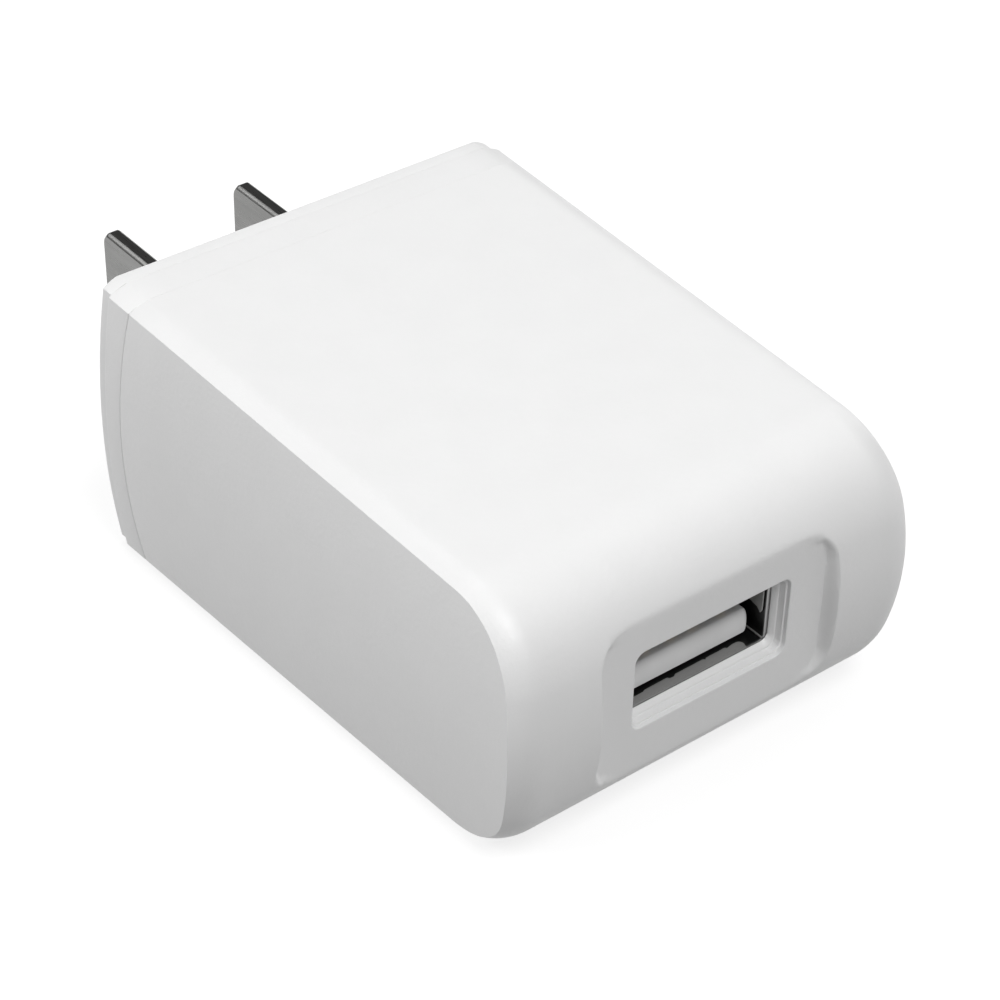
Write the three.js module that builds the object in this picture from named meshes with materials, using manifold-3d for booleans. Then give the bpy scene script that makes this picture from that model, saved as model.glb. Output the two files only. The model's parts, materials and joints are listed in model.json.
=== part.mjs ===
// A USB-A wall charger with two fixed flat blades, as the separate pieces it is built from.
// Frame: the origin is the centre of the wall face, +X runs across the width, +Y runs out of the
// wall face along the blades, and +Z is up with the charger lying on one of its large faces.
// Every length is in millimetres.
import * as THREE from "three";
import { ConvexGeometry } from "three/addons/geometries/ConvexGeometry.js";
import { mergeVertices } from "three/addons/utils/BufferGeometryUtils.js";
import Module from "manifold-3d";

const wasm = await Module();
wasm.setup();

// ---------------------------------------------------------------- driving dimensions

// Body. The width and height are those at the seam, and both shrink towards the front.
const BODY_WIDTH = 36.2;
const BODY_HEIGHT = 24.28;
const WIDTH_TAPER = 0.02;
const HEIGHT_TAPER = 0.03;
const SIDE_CROWN = 0.97;
const SEAM_Y = -4.06;
const SEAM_ARCH = 0.75;
const SEAM_GAP = 0.3;
const FRONT_Y = -50.12;
const FRONT_CROWN_RADIUS = 22.2;
const CORNER_RADIUS = 7.83;
const WALL = 2;
const FRONT_WALL = 3.2;

// Narrow curved strip between each large face and the sides. It ends in a sharp crease.
const STRIP_WIDTH = 1.81;
const STRIP_DROP = 0.68;
const FRONT_STRIP_WIDTH = 2.5;
const FRONT_STRIP_DROP = 0.93;
const CREASE_RADIUS = 6.7;

// Back cover
const RIM_BACK_Y = -1.3;
const PAD_INSET = 0.22;
const PAD_CORNER_RADIUS = 1.4;
const PAD_THICKNESS = 2.4;
const SPIGOT_WALL = 1.2;
const SPIGOT_FRONT_Y = -7.6;

// Port: a shallow flat recess, and a bevelled opening in it
const FACET_Y = -48.9;
const FACET_WIDTH = 21.1;
const FACET_HEIGHT = 13.8;
const FACET_CORNER_RADIUS = 3;
const LIP_WIDTH = 14.14;
const LIP_HEIGHT = 6.81;
const LIP_Z = 0.45;
const LIP_CORNER_RADIUS = 0.85;
const BEVEL_END_Y = -47.6;
const BEVEL_END_WIDTH = 13;
const BEVEL_END_HEIGHT = 5.5;
const BEVEL_END_CORNER_RADIUS = 0.4;

// USB-A receptacle. The opening inside the shell is the standard 12.5 by 5.12.
const PORT_WIDTH = 12.5;
const PORT_HEIGHT = 5.12;
const PORT_Z = 0.32;
const SHEET_METAL = 0.3;
const USB_FRONT_Y = BEVEL_END_Y + 0.05;
const USB_BACK_Y = -36.2;
const TONGUE_TIP_Y = -46.55;
const TONGUE_WIDTH = 11.1;
const TONGUE_LOW_Z = -1.8;
const TONGUE_HIGH_Z = 0.14;
const BLOCK_FRONT_Y = -39.2;
const CONTACT_X = [-3.5, -1, 1, 3.5];

// Blades: 12.7 apart, 6.35 high and 1.4 thick, with an 11.7 reach to the hole
const BLADE_SPACING = 12.7;
const BLADE_HEIGHT = 6.35;
const BLADE_THICKNESS = 1.4;
const BLADE_REACH = 18.3;
const BLADE_TIP_ROUND = 1;
const BLADE_TIP_BOW = 0.6;
const BLADE_HOLE_Y = 11.7;
const BLADE_HOLE_RADIUS = 1.6;
const BLADE_BEVEL = 0.25;
const SHOULDER_HEIGHT = 9;
const SHOULDER_LENGTH = 1.5;
const TAIL_HEIGHT = 4;
const TAIL_END_Y = -8.4;
const TAIL_HOLE_INSET = 1.7;
const TAIL_HOLE_RADIUS = 0.7;
const RETAINER_WIDTH = 22;
const RETAINER_HEIGHT = 13;
const RETAINER_THICKNESS = 1.4;

// Circuit board. It lies above the port, so most parts hang below it.
const BOARD_Z = 3.4;
const BOARD_THICKNESS = 1.6;
const BOARD_HALF_WIDTH = 15.2;
const BOARD_FRONT_Y = -44.2;
const BOARD_BACK_Y = -9;
const LEDGE_HEIGHT = 1.1;
const LEDGE_OVERLAP = 0.6;
const LEAD_RADIUS = 0.3;
const WIRE_RADIUS = 0.5;

const GAP = 0.3;
const SEAT_GAP = 0.1;
const LEAD_END = BOARD_THICKNESS + 0.8;

// Longer than the whole charger, for blocks that cut right through it
const BEYOND = 80;

// ---------------------------------------------------------------- materials

function material(color, roughness, metalness = 0) {
  return new THREE.MeshStandardMaterial({ color, roughness, metalness });
}

const WHITE_PLASTIC = material(0xf2f2f1, 0.55);
const BLADE_METAL = material(0x9c9b98, 0.35, 1);
const SHELL_METAL = material(0xb8b9bb, 0.3, 1);
const TONGUE_PLASTIC = material(0xa9aaab, 0.5);
const GOLD_CONTACT = material(0xc9a14a, 0.3, 1);
const BOARD_GREEN = material(0x1f5b35, 0.5);
const FERRITE = material(0x3a3a3c, 0.75);
const BOBBIN_BLACK = material(0x1c1c1e, 0.5);
const TAPE_YELLOW = material(0xd8b53a, 0.45);
const CAN_SLEEVE = material(0x23262d, 0.4);
const CHOKE_SLEEVE = material(0x2b2b2b, 0.6);
const DISC_BLUE = material(0x2f6fae, 0.45);
const RESISTOR_BODY = material(0xb9c7b4, 0.5);
const CHIP_BLACK = material(0x18181a, 0.5);
const CHIP_CERAMIC = material(0xb79a6c, 0.5);
const WIRE_RED = material(0x8f2a25, 0.5);
const CLEAR_SHEET = material(0xd9dcc8, 0.4);

// ---------------------------------------------------------------- solids

// A closed geometry as a solid that can be joined and cut. A turned profile may run either way round.
function solid(geometry) {
  const bare = geometry.clone();
  bare.deleteAttribute("normal");
  bare.deleteAttribute("uv");
  const merged = mergeVertices(bare, 1e-4);
  const make = (triVerts) =>
    new wasm.Manifold(
      new wasm.Mesh({
        numProp: 3,
        vertProperties: new Float32Array(merged.attributes.position.array),
        triVerts,
      }),
    );
  const made = make(new Uint32Array(merged.index.array));
  return made.volume() > 0 ? made : make(new Uint32Array(merged.index.array).reverse());
}

function geometryOf(made) {
  const mesh = made.getMesh();
  const geometry = new THREE.BufferGeometry();
  geometry.setAttribute("position", new THREE.BufferAttribute(mesh.vertProperties, 3));
  geometry.setIndex(new THREE.BufferAttribute(mesh.triVerts, 1));
  geometry.computeVertexNormals();
  return geometry;
}

function join(...solids) {
  return solids.reduce((whole, next) => whole.add(next));
}

function cut(whole, ...cutters) {
  return cutters.reduce((rest, cutter) => rest.subtract(cutter), whole);
}

function box(low, high) {
  const size = high.map((value, axis) => value - low[axis]);
  const middle = high.map((value, axis) => (value + low[axis]) / 2);
  return solid(new THREE.BoxGeometry(...size).translate(...middle));
}

// Shapes drawn in (x, y), (x, z) and (y, z), extruded along the axis left over
function alongZ(shape, low, high, options = {}) {
  const geometry = extrusion(shape, high - low, options);
  return solid(geometry.translate(0, 0, low));
}

function alongY(shape, low, high, options = {}) {
  const geometry = extrusion(shape, high - low, options);
  return solid(geometry.rotateX(Math.PI / 2).translate(0, high, 0));
}

function alongX(shape, low, high, options = {}) {
  const turn = new THREE.Matrix4().makeBasis(
    new THREE.Vector3(0, 1, 0),
    new THREE.Vector3(0, 0, 1),
    new THREE.Vector3(1, 0, 0),
  );
  const geometry = extrusion(shape, high - low, options);
  return solid(geometry.applyMatrix4(turn).translate(low, 0, 0));
}

function extrusion(shape, depth, options) {
  return new THREE.ExtrudeGeometry(shape, { depth, bevelEnabled: false, curveSegments: 4, ...options });
}

// A solid turned about Z from a profile of [radius, height] points
function turned(profile, sides = 16) {
  const points = profile.map(([radius, height]) => new THREE.Vector2(radius, height));
  return solid(new THREE.LatheGeometry(points, sides).rotateX(Math.PI / 2));
}

// A round wire along a smooth curve through the points
function wire(points, radius, sides = 8, steps = 12) {
  const path = new THREE.CatmullRomCurve3(points.map((point) => new THREE.Vector3(...point)));
  const section = new THREE.Shape(circle(0, 0, radius, sides).getPoints());
  return solid(extrusion(section, 0, { extrudePath: path, steps }));
}

// ---------------------------------------------------------------- outlines

function polygon(points) {
  return new THREE.Shape(points.map(([a, b]) => new THREE.Vector2(a, b)));
}

function circle(x, y, radius, sides = 8) {
  const points = [];
  for (let i = 0; i < sides; i++) {
    const angle = (2 * Math.PI * i) / sides;
    points.push(new THREE.Vector2(x + radius * Math.cos(angle), y + radius * Math.sin(angle)));
  }
  return new THREE.Path(points);
}

function roundedRectangle(width, height, radius, middleY = 0, steps = 4) {
  const w = width / 2 - radius;
  const h = height / 2 - radius;
  const corners = [[w, h], [-w, h], [-w, -h], [w, -h]];
  const points = [];
  corners.forEach(([x, y], quarter) => {
    for (let step = 0; step <= steps; step++) {
      const angle = (Math.PI / 2) * (quarter + step / steps);
      points.push([x + radius * Math.cos(angle), middleY + y + radius * Math.sin(angle)]);
    }
  });
  return polygon(points);
}

// ---------------------------------------------------------------- body form

function halfWidth(y) {
  return BODY_WIDTH / 2 - WIDTH_TAPER * (SEAM_Y - y);
}

function halfHeight(y) {
  return BODY_HEIGHT / 2 - HEIGHT_TAPER * (SEAM_Y - y);
}

// How far out the crowned side face stands at a place on it
function sideX(y, z, inset) {
  const share = Math.min(Math.abs(z) / (halfHeight(y) - inset - STRIP_DROP), 1);
  return halfWidth(y) - inset + SIDE_CROWN * (1 - share * share);
}

// The upper half of the outline seen from the side, front to back: the slightly crowned front, the
// round corner and the large face. slope is the angle of the surface's normal above the horizontal.
function sideOutline(frontY, radius, drop, backY, cornerSteps) {
  const cornerZ = halfHeight(frontY + radius) - drop - radius;
  let slope = 0;
  for (let pass = 0; pass < 8; pass++) {
    slope = Math.atan((cornerZ + radius * Math.sin(slope)) / FRONT_CROWN_RADIUS);
  }
  const startZ = cornerZ + radius * Math.sin(slope);
  const outline = [];
  const frontSteps = 3;
  for (let i = 0; i < frontSteps; i++) {
    const z = (startZ * i) / frontSteps;
    const y = frontY + (z * z) / (2 * FRONT_CROWN_RADIUS);
    outline.push({ y, z, slope: Math.atan(z / FRONT_CROWN_RADIUS) });
  }
  const cornerY = frontY + (startZ * startZ) / (2 * FRONT_CROWN_RADIUS) + radius * Math.cos(slope);
  for (let i = 0; i <= cornerSteps; i++) {
    const angle = slope + ((Math.PI / 2 - slope) * i) / cornerSteps;
    const y = cornerY - radius * Math.cos(angle);
    outline.push({ y, z: cornerZ + radius * Math.sin(angle), slope: angle });
  }
  outline.push({ y: backY, z: halfHeight(backY) - drop, slope: Math.PI / 2 });
  return outline;
}

// The whole body from its front to backY, as the hull of points on its surface. The inset bodies
// are the hollow and the cover's spigot.
function bodyForm({ inset = 0, frontInset = inset, backY, cornerSteps = 10, stripSteps = 3 }) {
  const crownSteps = 3;
  const faceFront = FRONT_Y + frontInset;
  const face = sideOutline(faceFront, CORNER_RADIUS - inset, inset, backY, cornerSteps);
  const creaseFront = faceFront + FRONT_STRIP_DROP;
  const creaseDrop = inset + STRIP_DROP;
  const crease = sideOutline(creaseFront, CREASE_RADIUS - inset, creaseDrop, backY, cornerSteps);
  const points = [];
  const add = (x, y, z) => {
    for (const side of [-1, 1]) {
      points.push(new THREE.Vector3(side * x, y, z), new THREE.Vector3(side * x, y, -z));
    }
  };
  face.forEach((from, i) => {
    const to = crease[i];
    const width = STRIP_WIDTH + (FRONT_STRIP_WIDTH - STRIP_WIDTH) * Math.cos(from.slope);
    const inwards = Math.abs(to.y - from.y) * Math.cos(from.slope);
    const downwards = Math.abs(to.z - from.z) * Math.sin(from.slope);
    const turn = 2 * Math.atan((inwards + downwards) / width);
    for (let step = 0; step <= stripSteps; step++) {
      const angle = (turn * step) / stripSteps;
      const across = Math.sin(angle) / Math.sin(turn);
      const down = (1 - Math.cos(angle)) / (1 - Math.cos(turn));
      const x = sideX(to.y, to.z, inset) - width * (1 - across);
      add(x, from.y + (to.y - from.y) * down, from.z + (to.z - from.z) * down);
    }
    for (let step = 0; step < crownSteps; step++) {
      const z = (to.z * step) / crownSteps;
      add(sideX(to.y, z, inset), to.y, z);
    }
  });
  return solid(new ConvexGeometry(points));
}

// Everything on one side of the arched seam, out to farY. shift moves the seam back.
function besideSeam(farY, shift) {
  const reach = BODY_HEIGHT * 0.58;
  const steps = 8;
  const edge = [];
  for (let i = 0; i <= steps; i++) {
    const z = reach * ((2 * i) / steps - 1);
    const share = z / (BODY_HEIGHT / 2 - STRIP_DROP);
    edge.push([SEAM_Y + shift + SEAM_ARCH * (1 - share * share), z]);
  }
  return alongX(polygon([...edge, [farY, reach], [farY, -reach]]), -BODY_WIDTH, BODY_WIDTH);
}

// ---------------------------------------------------------------- casing

// The bevelled way into the port: the hull of the lip's outline and the smaller inner one
function portBevel() {
  const outward = FACET_Y - 0.01;
  const lip = roundedRectangle(LIP_WIDTH, LIP_HEIGHT, LIP_CORNER_RADIUS, LIP_Z).getPoints();
  const end = roundedRectangle(BEVEL_END_WIDTH, BEVEL_END_HEIGHT, BEVEL_END_CORNER_RADIUS, PORT_Z);
  return solid(
    new ConvexGeometry([
      ...lip.map((point) => new THREE.Vector3(point.x, outward, point.y)),
      ...end.getPoints().map((point) => new THREE.Vector3(point.x, BEVEL_END_Y, point.y)),
    ]),
  );
}

function portTunnel() {
  const width = PORT_WIDTH + 2 * SHEET_METAL + 2 * GAP;
  const height = PORT_HEIGHT + 2 * SHEET_METAL + 2 * GAP;
  const outline = roundedRectangle(width, height, BEVEL_END_CORNER_RADIUS, PORT_Z);
  return alongY(outline, BEVEL_END_Y - 0.01, BOARD_FRONT_Y);
}

// Four ledges on the inner walls that the board slides between
function boardLedges() {
  const inner = BOARD_HALF_WIDTH - LEDGE_OVERLAP;
  const outer = BODY_WIDTH / 2 - 0.6 * WALL;
  const front = BOARD_FRONT_Y + 2;
  const back = SPIGOT_FRONT_Y - GAP;
  const under = BOARD_Z - GAP - LEDGE_HEIGHT;
  const over = BOARD_Z + BOARD_THICKNESS + GAP;
  const ledges = [];
  for (const side of [-1, 1]) {
    for (const z of [under, over]) {
      const ends = [side * inner, side * outer].sort((a, b) => a - b);
      ledges.push(box([ends[0], front, z], [ends[1], back, z + LEDGE_HEIGHT]));
    }
  }
  return ledges;
}

function frontHousing() {
  const outside = bodyForm({ backY: 0 });
  const hollow = bodyForm({ inset: WALL, frontInset: FRONT_WALL, backY: 1, cornerSteps: 6, stripSteps: 2 });
  const recess = alongY(
    roundedRectangle(FACET_WIDTH, FACET_HEIGHT, FACET_CORNER_RADIUS),
    FRONT_Y - 1,
    FACET_Y,
  );
  const shell = cut(outside, besideSeam(BEYOND, 0), hollow, recess, portBevel(), portTunnel());
  return join(shell, ...boardLedges());
}

// The raised pad that meets the wall: straight along its long edges and bowed at its ends
function wallPad() {
  const w = halfWidth(RIM_BACK_Y) - PAD_INSET;
  const h = halfHeight(RIM_BACK_Y) - PAD_INSET;
  const r = PAD_CORNER_RADIUS;
  const bow = w + 2 * SIDE_CROWN;
  const shape = new THREE.Shape();
  shape.moveTo(-w + r, h);
  shape.quadraticCurveTo(-w, h, -w, h - r);
  shape.quadraticCurveTo(-bow, 0, -w, -h + r);
  shape.quadraticCurveTo(-w, -h, -w + r, -h);
  shape.lineTo(w - r, -h);
  shape.quadraticCurveTo(w, -h, w, -h + r);
  shape.quadraticCurveTo(bow, 0, w, h - r);
  shape.quadraticCurveTo(w, h, w - r, h);
  return alongY(shape, RIM_BACK_Y - 0.5, 0, { curveSegments: 5 });
}

function backCover() {
  const rim = cut(bodyForm({ backY: RIM_BACK_Y }), besideSeam(-BEYOND, SEAM_GAP));
  const spigotInset = WALL + GAP;
  const spigot = bodyForm({ inset: spigotInset, backY: RIM_BACK_Y, cornerSteps: 6, stripSteps: 2 });
  const inFront = box([-BEYOND, -BEYOND, -BEYOND], [BEYOND, SPIGOT_FRONT_Y, BEYOND]);
  const hollow = bodyForm({
    inset: spigotInset + SPIGOT_WALL,
    backY: -PAD_THICKNESS,
    cornerSteps: 6,
    stripSteps: 2,
  });
  const slots = bladeSlots(-PAD_THICKNESS - 1, 1, BLADE_HEIGHT);
  return cut(join(rim, wallPad(), cut(spigot, inFront)), hollow, ...slots);
}

function bladeSlots(lowY, highY, height) {
  const x = BLADE_THICKNESS / 2 + GAP;
  const z = height / 2 + GAP;
  return [-1, 1].map((side) => {
    const middle = (side * BLADE_SPACING) / 2;
    return box([middle - x, lowY, -z], [middle + x, highY, z]);
  });
}

// The plate behind the cover that keeps the blades' shoulders against it
function bladeRetainer() {
  const back = shoulderFrontY() - GAP;
  const front = back - RETAINER_THICKNESS;
  const plate = alongY(roundedRectangle(RETAINER_WIDTH, RETAINER_HEIGHT, 1.5), front, back);
  return cut(plate, ...bladeSlots(front - 1, back + 1, TAIL_HEIGHT));
}

function shoulderFrontY() {
  return -PAD_THICKNESS - GAP - SHOULDER_LENGTH;
}

// ---------------------------------------------------------------- blades

// The upper half of a blade's tip: a quarter ellipse from the end to the upper edge
function bladeTip(end, half) {
  const steps = 4;
  const points = [];
  for (let i = 0; i <= steps; i++) {
    const angle = (Math.PI / 2) * (i / steps);
    const y = end - BLADE_TIP_BOW * (1 - Math.cos(angle));
    points.push([y, half - BLADE_TIP_ROUND * (1 - Math.sin(angle))]);
  }
  return points;
}

// A flat blade with a rounded tip, a hole, a shoulder inside the cover and a narrower tail
function blade() {
  const half = BLADE_HEIGHT / 2 - BLADE_BEVEL;
  const shoulder = SHOULDER_HEIGHT / 2 - BLADE_BEVEL;
  const tail = TAIL_HEIGHT / 2 - BLADE_BEVEL;
  const stop = -PAD_THICKNESS - GAP - BLADE_BEVEL;
  const step = shoulderFrontY() + BLADE_BEVEL;
  const upper = [
    ...bladeTip(BLADE_REACH - BLADE_BEVEL, half),
    [stop, half],
    [stop, shoulder],
    [step, shoulder],
    [step, tail],
    [TAIL_END_Y + BLADE_BEVEL, tail],
  ];
  const lower = upper.map(([y, z]) => [y, -z]).reverse();
  const shape = polygon([...upper, ...lower]);
  shape.holes.push(circle(BLADE_HOLE_Y, 0, BLADE_HOLE_RADIUS + BLADE_BEVEL, 20));
  shape.holes.push(circle(TAIL_END_Y + TAIL_HOLE_INSET, 0, TAIL_HOLE_RADIUS + BLADE_BEVEL));
  const bevel = {
    bevelEnabled: true,
    bevelThickness: BLADE_BEVEL,
    bevelSize: BLADE_BEVEL,
    bevelSegments: 1,
  };
  const inner = BLADE_THICKNESS / 2 - BLADE_BEVEL;
  return alongX(shape, -inner, inner, bevel);
}

// ---------------------------------------------------------------- USB receptacle

// The bent metal shell, with two pressed springs in its floor and roof and four board legs
function usbShell() {
  const outer = roundedRectangle(PORT_WIDTH + 2 * SHEET_METAL, PORT_HEIGHT + 2 * SHEET_METAL, 0.6, PORT_Z);
  outer.holes.push(roundedRectangle(PORT_WIDTH, PORT_HEIGHT, 0.35, PORT_Z));
  const sleeve = alongY(outer, USB_FRONT_Y, USB_BACK_Y);
  const floor = PORT_Z - PORT_HEIGHT / 2 - SHEET_METAL;
  const roof = PORT_Z + PORT_HEIGHT / 2;
  const windows = [];
  const springs = [];
  for (const x of [-3, 3]) {
    for (const z of [floor, roof]) {
      const windowBox = [x - 1.3, -45.2, z - 0.2];
      windows.push(box(windowBox, [x + 1.3, -40.6, z + SHEET_METAL + 0.2]));
      springs.push(pressedSpring(x, z, z === floor ? 1 : -1));
    }
  }
  const legs = legPlaces().map(([x, y]) => {
    return box([x - SHEET_METAL / 2, y - 0.8, roof - 1], [x + SHEET_METAL / 2, y + 0.8, BOARD_Z + LEAD_END]);
  });
  return join(cut(sleeve, ...windows), ...springs, ...legs);
}

// A spring leaf that starts in the shell's wall at its back end and dips into the port
function pressedSpring(x, z, inward) {
  const back = -40.4;
  const dip = -43.4;
  const tip = -44.8;
  const depth = 0.45 * inward;
  const top = z + SHEET_METAL;
  const side = polygon([
    [back, z],
    [back, top],
    [dip, top + depth],
    [tip, top],
    [tip, z],
    [dip, z + depth],
  ]);
  return alongX(side, x - 0.9, x + 0.9);
}

function legPlaces() {
  const x = PORT_WIDTH / 2 + SHEET_METAL / 2;
  return [
    [-x, -43],
    [x, -43],
    [-x, -38.4],
    [x, -38.4],
  ];
}

// The plastic block at the back of the shell, and the tongue that it carries into the port
function usbInsulator() {
  const tongue = roundedRectangle(TONGUE_WIDTH, TONGUE_HIGH_Z - TONGUE_LOW_Z, 0.5, tongueMiddle());
  const blockWidth = PORT_WIDTH - 2 * GAP;
  const low = PORT_Z - PORT_HEIGHT / 2 + GAP;
  const high = PORT_Z + PORT_HEIGHT / 2 - GAP;
  const block = box([-blockWidth / 2, BLOCK_FRONT_Y, low], [blockWidth / 2, USB_BACK_Y + 0.2, high]);
  const channels = CONTACT_X.map((x) => {
    return box([x - 0.8, BLOCK_FRONT_Y - 0.01, TONGUE_HIGH_Z], [x + 0.8, USB_BACK_Y + 1, high + 1]);
  });
  return cut(join(alongY(tongue, TONGUE_TIP_Y, BLOCK_FRONT_Y + 1), block), ...channels);
}

function tongueMiddle() {
  return (TONGUE_LOW_Z + TONGUE_HIGH_Z) / 2;
}

// A contact strip that lies on the tongue and turns up into the board behind the block
function usbContact() {
  const thickness = 0.25;
  const low = TONGUE_HIGH_Z + SEAT_GAP;
  const high = low + thickness;
  const pinFront = contactPinY() - 0.2;
  const pinBack = contactPinY() + 0.2;
  const side = polygon([
    [TONGUE_TIP_Y + 0.8, low],
    [pinBack, low],
    [pinBack, BOARD_Z + LEAD_END],
    [pinFront, BOARD_Z + LEAD_END],
    [pinFront, high],
    [TONGUE_TIP_Y + 0.8, high],
  ]);
  return alongX(side, -0.5, 0.5);
}

function contactPinY() {
  return USB_BACK_Y + 0.9;
}

// ---------------------------------------------------------------- board parts
// These are drawn with z = 0 at the board's underside. Parts below it have their leads going up.

function lead(x, y, fromZ) {
  const profile = [[0, fromZ], [LEAD_RADIUS, fromZ], [LEAD_RADIUS, LEAD_END], [0, LEAD_END]];
  return turned(profile, 6).translate([x, y, 0]);
}

// An electrolytic can with a crimp groove near its base, a rounded end, and two leads
function electrolyticCan(radius, height, leads) {
  const base = -SEAT_GAP - 0.3;
  const can = turned([
    [0, base],
    [radius - 0.2, base],
    [radius, base - 0.3],
    [radius, base - 1.1],
    [radius - 0.3, base - 1.4],
    [radius, base - 1.7],
    [radius, base - height + 0.4],
    [radius - 0.4, base - height],
    [0, base - height],
  ]);
  return join(can, ...leads.map(([x, y]) => lead(x, y, base - 0.5)));
}

function inputChoke(leads) {
  const base = -SEAT_GAP - 0.3;
  const drum = turned([
    [0, base],
    [3, base],
    [3, base - 1.2],
    [2.5, base - 1.5],
    [2.5, base - 6.3],
    [3, base - 6.6],
    [3, base - 7.8],
    [0, base - 7.8],
  ]);
  return join(drum, ...leads.map(([x, y]) => lead(x, y, base - 0.5)));
}

// A ceramic disc standing on edge, along Y
function safetyCapacitor(leads) {
  const radius = 3.7;
  const disc = turned([
    [0, -1.6],
    [radius - 1, -1.6],
    [radius, -0.8],
    [radius, 0.8],
    [radius - 1, 1.6],
    [0, 1.6],
  ]);
  const standing = disc.rotate([0, 90, 0]).translate([0, 0, -radius - 0.8]);
  return join(standing, ...leads.map(([x, y]) => lead(x, y, -radius)));
}

// An axial resistor that lies along Y, with its leads bent up into the board
function fusibleResistor(leadY) {
  const bodyZ = -2.2;
  const body = turned([
    [0, -3.4],
    [1.1, -3.4],
    [1.35, -3],
    [1.35, -2.2],
    [1.15, -1.8],
    [1.15, 1.8],
    [1.35, 2.2],
    [1.35, 3],
    [1.1, 3.4],
    [0, 3.4],
  ]);
  const leads = [-1, 1].map((end) => {
    const points = [
      [0, end * 2.8, bodyZ],
      [0, end * (leadY - 0.8), bodyZ],
      [0, end * leadY, bodyZ + 0.9],
      [0, end * leadY, LEAD_END],
    ];
    return wire(points, LEAD_RADIUS, 6, 10);
  });
  return join(body.rotate([90, 0, 0]).translate([0, 0, bodyZ]), ...leads);
}

// The core is two E-shaped halves whose legs point at each other along Y
const CORE = { halfX: 7.4, halfLength: 6.35, back: 1.9, leg: 1.9, centreLeg: 3.6, halfZ: 2.5, airGap: 0.3 };
const TRANSFORMER_Z = -5.75;

function transformerCoreHalf() {
  const legX = CORE.halfX - CORE.leg;
  const centreX = CORE.centreLeg / 2;
  const tips = -CORE.airGap / 2;
  const bottom = -CORE.halfLength;
  const yoke = bottom + CORE.back;
  const outline = polygon([
    [-CORE.halfX, bottom],
    [CORE.halfX, bottom],
    [CORE.halfX, tips],
    [legX, tips],
    [legX, yoke],
    [centreX, yoke],
    [centreX, tips],
    [-centreX, tips],
    [-centreX, yoke],
    [-legX, yoke],
    [-legX, tips],
    [-CORE.halfX, tips],
  ]);
  return alongZ(outline, TRANSFORMER_Z - CORE.halfZ, TRANSFORMER_Z + CORE.halfZ);
}

const BOBBIN = { wall: 0.6, flange: 0.7, halfX: 5.1, halfZ: 5.1 };
const BOBBIN_END = CORE.halfLength - CORE.back - GAP;

function rectangularTube(innerX, innerZ, outerX, outerZ, lowY, highY) {
  const shape = roundedRectangle(2 * outerX, 2 * outerZ, 0.4, 0, 2);
  shape.holes.push(roundedRectangle(2 * innerX, 2 * innerZ, 0.1, 0, 1));
  return alongY(shape, lowY, highY).translate([0, 0, TRANSFORMER_Z]);
}

// The coil former: a tube round the centre leg, two flanges, and a pin rail over each core half
function transformerBobbin(pins) {
  const innerX = CORE.centreLeg / 2 + GAP;
  const innerZ = CORE.halfZ + GAP;
  const outerX = innerX + BOBBIN.wall;
  const outerZ = innerZ + BOBBIN.wall;
  const inFlange = BOBBIN_END - BOBBIN.flange;
  const tube = rectangularTube(innerX, innerZ, outerX, outerZ, -BOBBIN_END, BOBBIN_END);
  const flanges = [-BOBBIN_END, inFlange].map((y) => {
    return rectangularTube(innerX, innerZ, BOBBIN.halfX, BOBBIN.halfZ, y, y + BOBBIN.flange);
  });
  const railLow = TRANSFORMER_Z + CORE.halfZ + GAP;
  const rails = [-1, 1].map((end) => {
    const ends = [end * inFlange, end * (CORE.halfLength + 0.2)].sort((a, b) => a - b);
    return box([-6.4, ends[0], railLow], [6.4, ends[1], -SEAT_GAP]);
  });
  return join(tube, ...flanges, ...rails, ...pins.map(([x, y]) => lead(x, y, railLow + 1)));
}

function transformerWinding() {
  const innerX = CORE.centreLeg / 2 + GAP + BOBBIN.wall + SEAT_GAP;
  const innerZ = CORE.halfZ + GAP + BOBBIN.wall + SEAT_GAP;
  const end = BOBBIN_END - BOBBIN.flange - SEAT_GAP;
  return rectangularTube(innerX, innerZ, BOBBIN.halfX - 0.3, BOBBIN.halfZ - 0.2, -end, end);
}

// A moulded package on the board's upper face, with bent legs along its two X sides
function legPackage({ width, length, height, legs, legWidth, legReach }) {
  const base = BOARD_THICKNESS + SEAT_GAP;
  const body = box([-width / 2, -length / 2, base + 0.1], [width / 2, length / 2, base + height]);
  const pitch = legs > 1 ? (length - legWidth - 0.6) / (legs - 1) : 0;
  const kneeZ = base + height * 0.45;
  const thick = 0.22;
  const pieces = [];
  for (let i = 0; i < legs; i++) {
    const y = (i - (legs - 1) / 2) * pitch;
    for (const side of [-1, 1]) {
      const inside = (side * width) / 2 - side * 0.3;
      const knee = (side * width) / 2 + side * legReach * 0.4;
      const foot = (side * width) / 2 + side * legReach;
      const bend = polygon([
        [inside, kneeZ],
        [knee, kneeZ],
        [knee, base],
        [foot, base],
        [foot, base + thick],
        [knee + side * thick, base + thick],
        [knee + side * thick, kneeZ + thick],
        [inside, kneeZ + thick],
      ]);
      pieces.push(alongY(bend, y - legWidth / 2, y + legWidth / 2));
    }
  }
  return join(body, ...pieces);
}

// A two-ended surface part: a slightly raised middle between its two soldered caps
function chipPart(length, width, height) {
  const base = BOARD_THICKNESS + SEAT_GAP;
  const cap = length * 0.16;
  const middle = box([-length / 2 + cap, -width / 2, base], [length / 2 - cap, width / 2, base + height]);
  const ends = [-1, 1].map((side) => {
    const reach = [side * (length / 2 - cap - 0.1), (side * length) / 2].sort((a, b) => a - b);
    const half = width / 2 - 0.04;
    return box([reach[0], -half, base + 0.02], [reach[1], half, base + height - 0.05]);
  });
  return join(middle, ...ends);
}

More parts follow.
